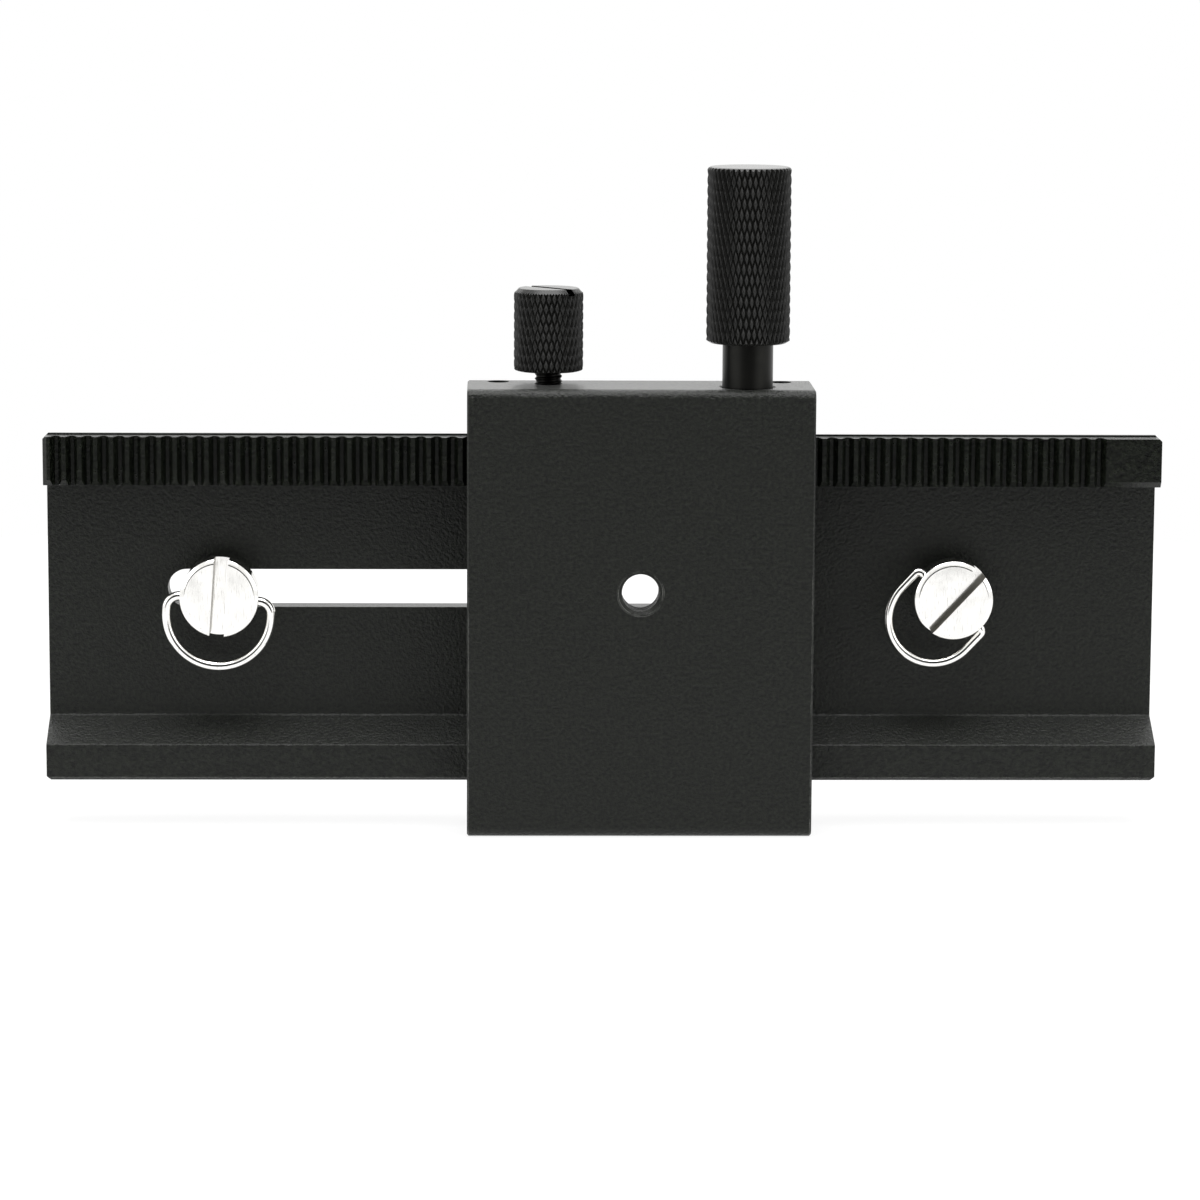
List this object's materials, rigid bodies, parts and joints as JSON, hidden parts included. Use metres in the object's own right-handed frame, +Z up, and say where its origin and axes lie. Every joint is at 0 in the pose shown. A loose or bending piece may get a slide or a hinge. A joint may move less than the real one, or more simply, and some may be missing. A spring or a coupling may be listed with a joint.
{
  "type": "macro focusing rail",
  "caption": "Rack-and-pinion slide that moves a camera along a bar: block with tripod thread, knurled focus and lock knobs, slotted camera screws with D-rings.",
  "frame": {"origin": "middle of the footprint of the whole part, on the lower face of the carriage block, with the rail on edge", "axes": "+X along the rail towards the plain end of the rack, +Z up towards the knobs, -Y towards the tripod side of the block"},
  "size_m": [0.16, 0.022, 0.0955],
  "materials": {
    "black_anodised_aluminium": "bead-blasted and black anodised",
    "black_knurled_aluminium": "diamond knurled and black anodised",
    "black_oxide_steel": "turned and black oxide",
    "nickel_plated_steel": "bright nickel plate",
    "black_nylon": "moulded",
    "white_acetal": "milled"
  },
  "bodies": {
    "carriage": {"carriage_block": "black_anodised_aluminium", "gib_strip": "white_acetal", "gib_screw_left": "black_oxide_steel", "gib_screw_right": "black_oxide_steel", "shaft_bush": "black_nylon", "shaft_thrust_washer": "black_nylon"},
    "rail": {"rail": "black_anodised_aluminium"},
    "focus_drive": {"pinion_shaft": "black_oxide_steel", "focus_knob": "black_knurled_aluminium", "focus_set_screw": "black_oxide_steel", "shaft_retaining_ring": "black_oxide_steel"},
    "lock_pad": {"lock_pad": "white_acetal"},
    "lock_screw": {"lock_stud": "black_oxide_steel", "lock_knob": "black_knurled_aluminium"},
    "left_washer": {"left_screw_washer": "black_nylon"},
    "left_screw": {"left_camera_screw": "nickel_plated_steel"},
    "left_ring": {"left_screw_ring": "nickel_plated_steel"},
    "right_washer": {"right_screw_washer": "black_nylon"},
    "right_screw": {"right_camera_screw": "nickel_plated_steel"},
    "right_ring": {"right_screw_ring": "nickel_plated_steel"}
  },
  "joints": [
    {"name": "rail_slide", "type": "slide", "parent": "carriage", "child": "rail", "axis": [1, 0, 0], "range_m": [-0.048, 0.06]},
    {"name": "focus_turn", "type": "hinge", "parent": "carriage", "child": "focus_drive", "pos_m": [0.02035, -0.00505, 0.0643], "axis": [0, 0, 1], "range_deg": [-1195, 956]},
    {"name": "lock_travel", "type": "slide", "parent": "carriage", "child": "lock_pad", "axis": [0, 0, 1], "range_m": [0, 0.0007]},
    {"name": "lock_turn", "type": "hinge", "parent": "lock_pad", "child": "lock_screw", "pos_m": [-0.0079, -0.00135, 0.0643], "axis": [0, 0, 1], "range_deg": [0, 361]},
    {"name": "left_screw_shift", "type": "slide", "parent": "rail", "child": "left_washer", "axis": [1, 0, 0], "range_m": [-0.0048, 0.072]},
    {"name": "left_screw_turn", "type": "hinge", "parent": "left_washer", "child": "left_screw", "pos_m": [-0.055, -0.00345, 0.0335], "axis": [0, -1, 0], "continuous": true},
    {"name": "left_ring_fold", "type": "hinge", "parent": "left_screw", "child": "left_ring", "pos_m": [-0.05502, -0.00125, 0.03315], "axis": [-0.9976, 0, 0.0698], "range_deg": [-14, 194]},
    {"name": "right_screw_lift", "type": "slide", "parent": "rail", "child": "right_washer", "axis": [0, 1, 0], "range_m": [0, 0.0015]},
    {"name": "right_screw_turn", "type": "hinge", "parent": "right_washer", "child": "right_screw", "pos_m": [0.05045, -0.00345, 0.0333], "axis": [0, -1, 0], "continuous": true},
    {"name": "right_ring_fold", "type": "hinge", "parent": "right_screw", "child": "right_ring", "pos_m": [0.05021, -0.00125, 0.03304], "axis": [-0.7314, 0, 0.682], "range_deg": [-14, 194]}
  ],
  "couplings": [
    {"joint": "focus_turn", "follows": "rail_slide", "rad_per_m": -347.22},
    {"joint": "lock_turn", "follows": "lock_travel", "rad_per_m": 8976}
  ]
}
